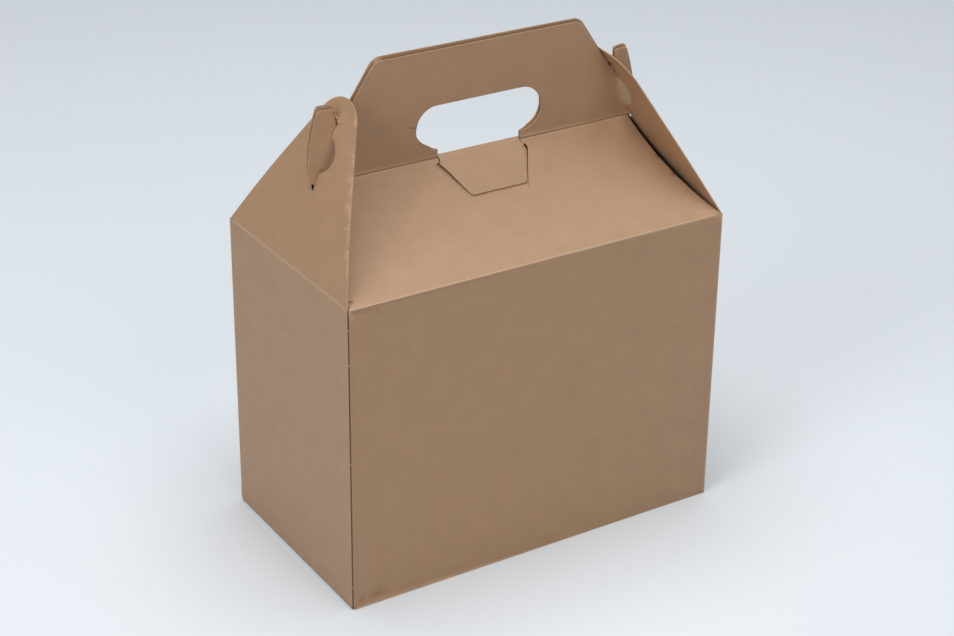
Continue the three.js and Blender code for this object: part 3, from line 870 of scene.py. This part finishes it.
def cut_edge_fibres():
    """Strews short thin rods over the raw edges, each turned its own way."""
    tree, given = new_tree("cut_edge_fibres", [
        ("Fibres per square metre", "NodeSocketFloat"), ("Fibre length", "NodeSocketFloat"),
        ("Fibre thickness", "NodeSocketFloat"), ("Seed", "NodeSocketInt")])
    place = add(tree, "GeometryNodeInputPosition").outputs[0]
    height = add(tree, "ShaderNodeSeparateXYZ", {0: place}).outputs[2]
    above_ground = maths(tree, "GREATER_THAN", height, CLEAR_OF_FLOOR)
    spots = add(tree, "GeometryNodeDistributePointsOnFaces", {
        "Mesh": given["Geometry"],
        "Selection": maths(tree, "MULTIPLY", stored(tree, "cut_edge", "BOOLEAN"), above_ground),
        "Density": given["Fibres per square metre"], "Seed": given["Seed"]})
    fibre = add(tree, "GeometryNodeMeshCylinder", {
        "Vertices": 3, "Depth": given["Fibre length"],
        "Radius": maths(tree, "MULTIPLY", given["Fibre thickness"], 0.5)})
    turned = add(tree, "FunctionNodeRandomValue", {
        0: (0, 0, 0), 1: (math.pi, math.pi, math.pi), "Seed": given["Seed"]}, data_type="FLOAT_VECTOR")
    placed = add(tree, "GeometryNodeInstanceOnPoints", {
        "Points": spots.outputs["Points"], "Instance": fibre.outputs["Mesh"],
        "Rotation": turned.outputs[0]})
    real = add(tree, "GeometryNodeRealizeInstances", {"Geometry": placed.outputs[0]})
    finished = add(tree, "GeometryNodeSetMaterial", {
        "Geometry": real.outputs[0], "Material": fibre_finish})
    both = add(tree, "GeometryNodeJoinGeometry")
    tree.links.new(finished.outputs[0], both.inputs[0])
    tree.links.new(given["Geometry"], both.inputs[0])
    add(tree, "NodeGroupOutput", {"Geometry": both.outputs[0]})
    return tree


fibres = cut_edge_fibres()
print(fibres.name, "has", len(fibres.nodes), "nodes")

# %% Run both trees and keep plain meshes
def give(piece, tree, sizes):
    """Adds a tree to a piece. Each input is set by its identifier."""
    modifier = piece.modifiers.new(tree.name, "NODES")
    modifier.node_group = tree
    for socket in tree.interface.items_tree:
        if socket.in_out == "INPUT" and socket.name in sizes:
            modifier[socket.identifier] = sizes[socket.name]


def make_plain(piece):
    """Swaps a piece's mesh for what its trees made of it, and takes the trees off."""
    shaped = piece.evaluated_get(bpy.context.evaluated_depsgraph_get())
    data = bpy.data.meshes.new_from_object(shaped)
    piece.modifiers.clear()
    piece.data = data
    data.name = piece.name
    print(piece.name, "is now", len(data.polygons), "faces in", len(data.materials), "materials")


fibre_sizes = {"Fibres per square metre": 6e5, "Fibre length": 0.9 * MM,
               "Fibre thickness": 0.06 * MM, "Seed": 4}
give(card, bowing, {"Roof sag": 4 * MM, "Slack": 0.5 * MM, "Slack length": 70 * MM, "Seed": 7.0})
give(card, fibres, fibre_sizes)
give(tab, fibres, fibre_sizes)
make_plain(card)
make_plain(tab)

# %% [markdown]
# ## Floor and light
# The carton stands on a pale grey sheet under one wide soft light, with two weaker ones at the
# left and in front, because its walls are nearly as light as its roof. Far off, the sheet and the
# room show the camera one even pale grey, and light nothing.

# %% Floor
REACH = 6.0
PAPER_UP_TO = 1.6
BACKDROP_FROM = 3.5
PAPER = linear("e3e5e9")
BACKDROP = linear("ccd2da")
PAPER_ROUGHNESS = 0.9
corners = [(-REACH, -REACH, 0), (REACH, -REACH, 0), (REACH, REACH, 0), (-REACH, REACH, 0)]
floor_data = bpy.data.meshes.new("floor")
floor_data.from_pydata(corners, [], [(0, 1, 2, 3)])
floor = bpy.data.objects.new("floor", floor_data)
bpy.context.scene.collection.objects.link(floor)
floor_finish = bpy.data.materials.new("backdrop_paper_pale_grey")
floor_finish.use_nodes = True
floor_finish.node_tree.nodes.clear()
floor_tree = floor_finish.node_tree
paper = add(floor_tree, "ShaderNodeBsdfPrincipled", {"Base Color": PAPER, "Roughness": PAPER_ROUGHNESS})
backdrop = add(floor_tree, "ShaderNodeEmission", {"Color": BACKDROP})
spot = add(floor_tree, "ShaderNodeTexCoord").outputs["Object"]
distance = add(floor_tree, "ShaderNodeVectorMath", {0: spot}, operation="LENGTH").outputs["Value"]
seen = add(floor_tree, "ShaderNodeLightPath").outputs["Is Camera Ray"]
far_and_seen = maths(floor_tree, "MULTIPLY", fades(floor_tree, distance, BACKDROP_FROM, PAPER_UP_TO), seen)
surface = add(floor_tree, "ShaderNodeMixShader", {
    0: far_and_seen, 1: paper.outputs[0], 2: backdrop.outputs[0]})
add(floor_tree, "ShaderNodeOutputMaterial", {"Surface": surface.outputs[0]})
floor_data.materials.append(floor_finish)
print("the floor reaches", REACH, "m from the carton")

# %% Lamps
MIDDLE = (0, 0, 0.12)
COOL = (0.93, 0.98, 1.0)
NEUTRAL = (1.0, 1.0, 0.96)


def soft_light(name, place, size, power, colour):
    """A round lamp that looks at the middle of the carton."""
    lamp = bpy.data.lights.new(name, "AREA")
    lamp.shape = "DISK"
    lamp.size = size
    lamp.energy = power
    lamp.color = colour
    made = bpy.data.objects.new(name, lamp)
    made.location = place
    made.rotation_euler = (Vector(place) - Vector(MIDDLE)).to_track_quat("Z", "Y").to_euler()
    bpy.context.scene.collection.objects.link(made)
    print("lamp", name, "gives", power, "W")


soft_light("overhead", (0.0, 0.0, 2.2), size=2.6, power=54, colour=COOL)
soft_light("left_side", (-1.9, -0.6, 1.1), size=1.2, power=17, colour=COOL)
soft_light("front_side", (0.1, -1.7, 1.3), size=1.2, power=7, colour=NEUTRAL)

# %% The room
ROOM_COLOUR = (0.93, 0.96, 1.0, 1.0)
ROOM_LIGHT = 0.04
world = bpy.data.worlds.new("room")
bpy.context.scene.world = world
world.use_nodes = True
room = world.node_tree
dim = room.nodes["Background"]
dim.inputs["Color"].default_value = ROOM_COLOUR
dim.inputs["Strength"].default_value = ROOM_LIGHT
pale = add(room, "ShaderNodeBackground", {"Color": BACKDROP, "Strength": 1.0})
looked_at = add(room, "ShaderNodeLightPath").outputs["Is Camera Ray"]
shown = add(room, "ShaderNodeMixShader", {0: looked_at, 1: dim.outputs[0], 2: pale.outputs[0]})
room.links.new(shown.outputs[0], room.nodes["World Output"].inputs["Surface"])
bpy.context.scene.view_settings.view_transform = "Standard"
print("the room lights the carton with a strength of", ROOM_LIGHT)

# %% [markdown]
# ## Bodies
# The pieces that stand for the CAD solids are named, and ride on their bodies. The CAD solids
# themselves are hidden.

# %% Bodies
for piece, body, node in ((card, "box", "carton"), (tab, "tab", "lock_tab")):
    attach(piece, body)
    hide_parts(node)
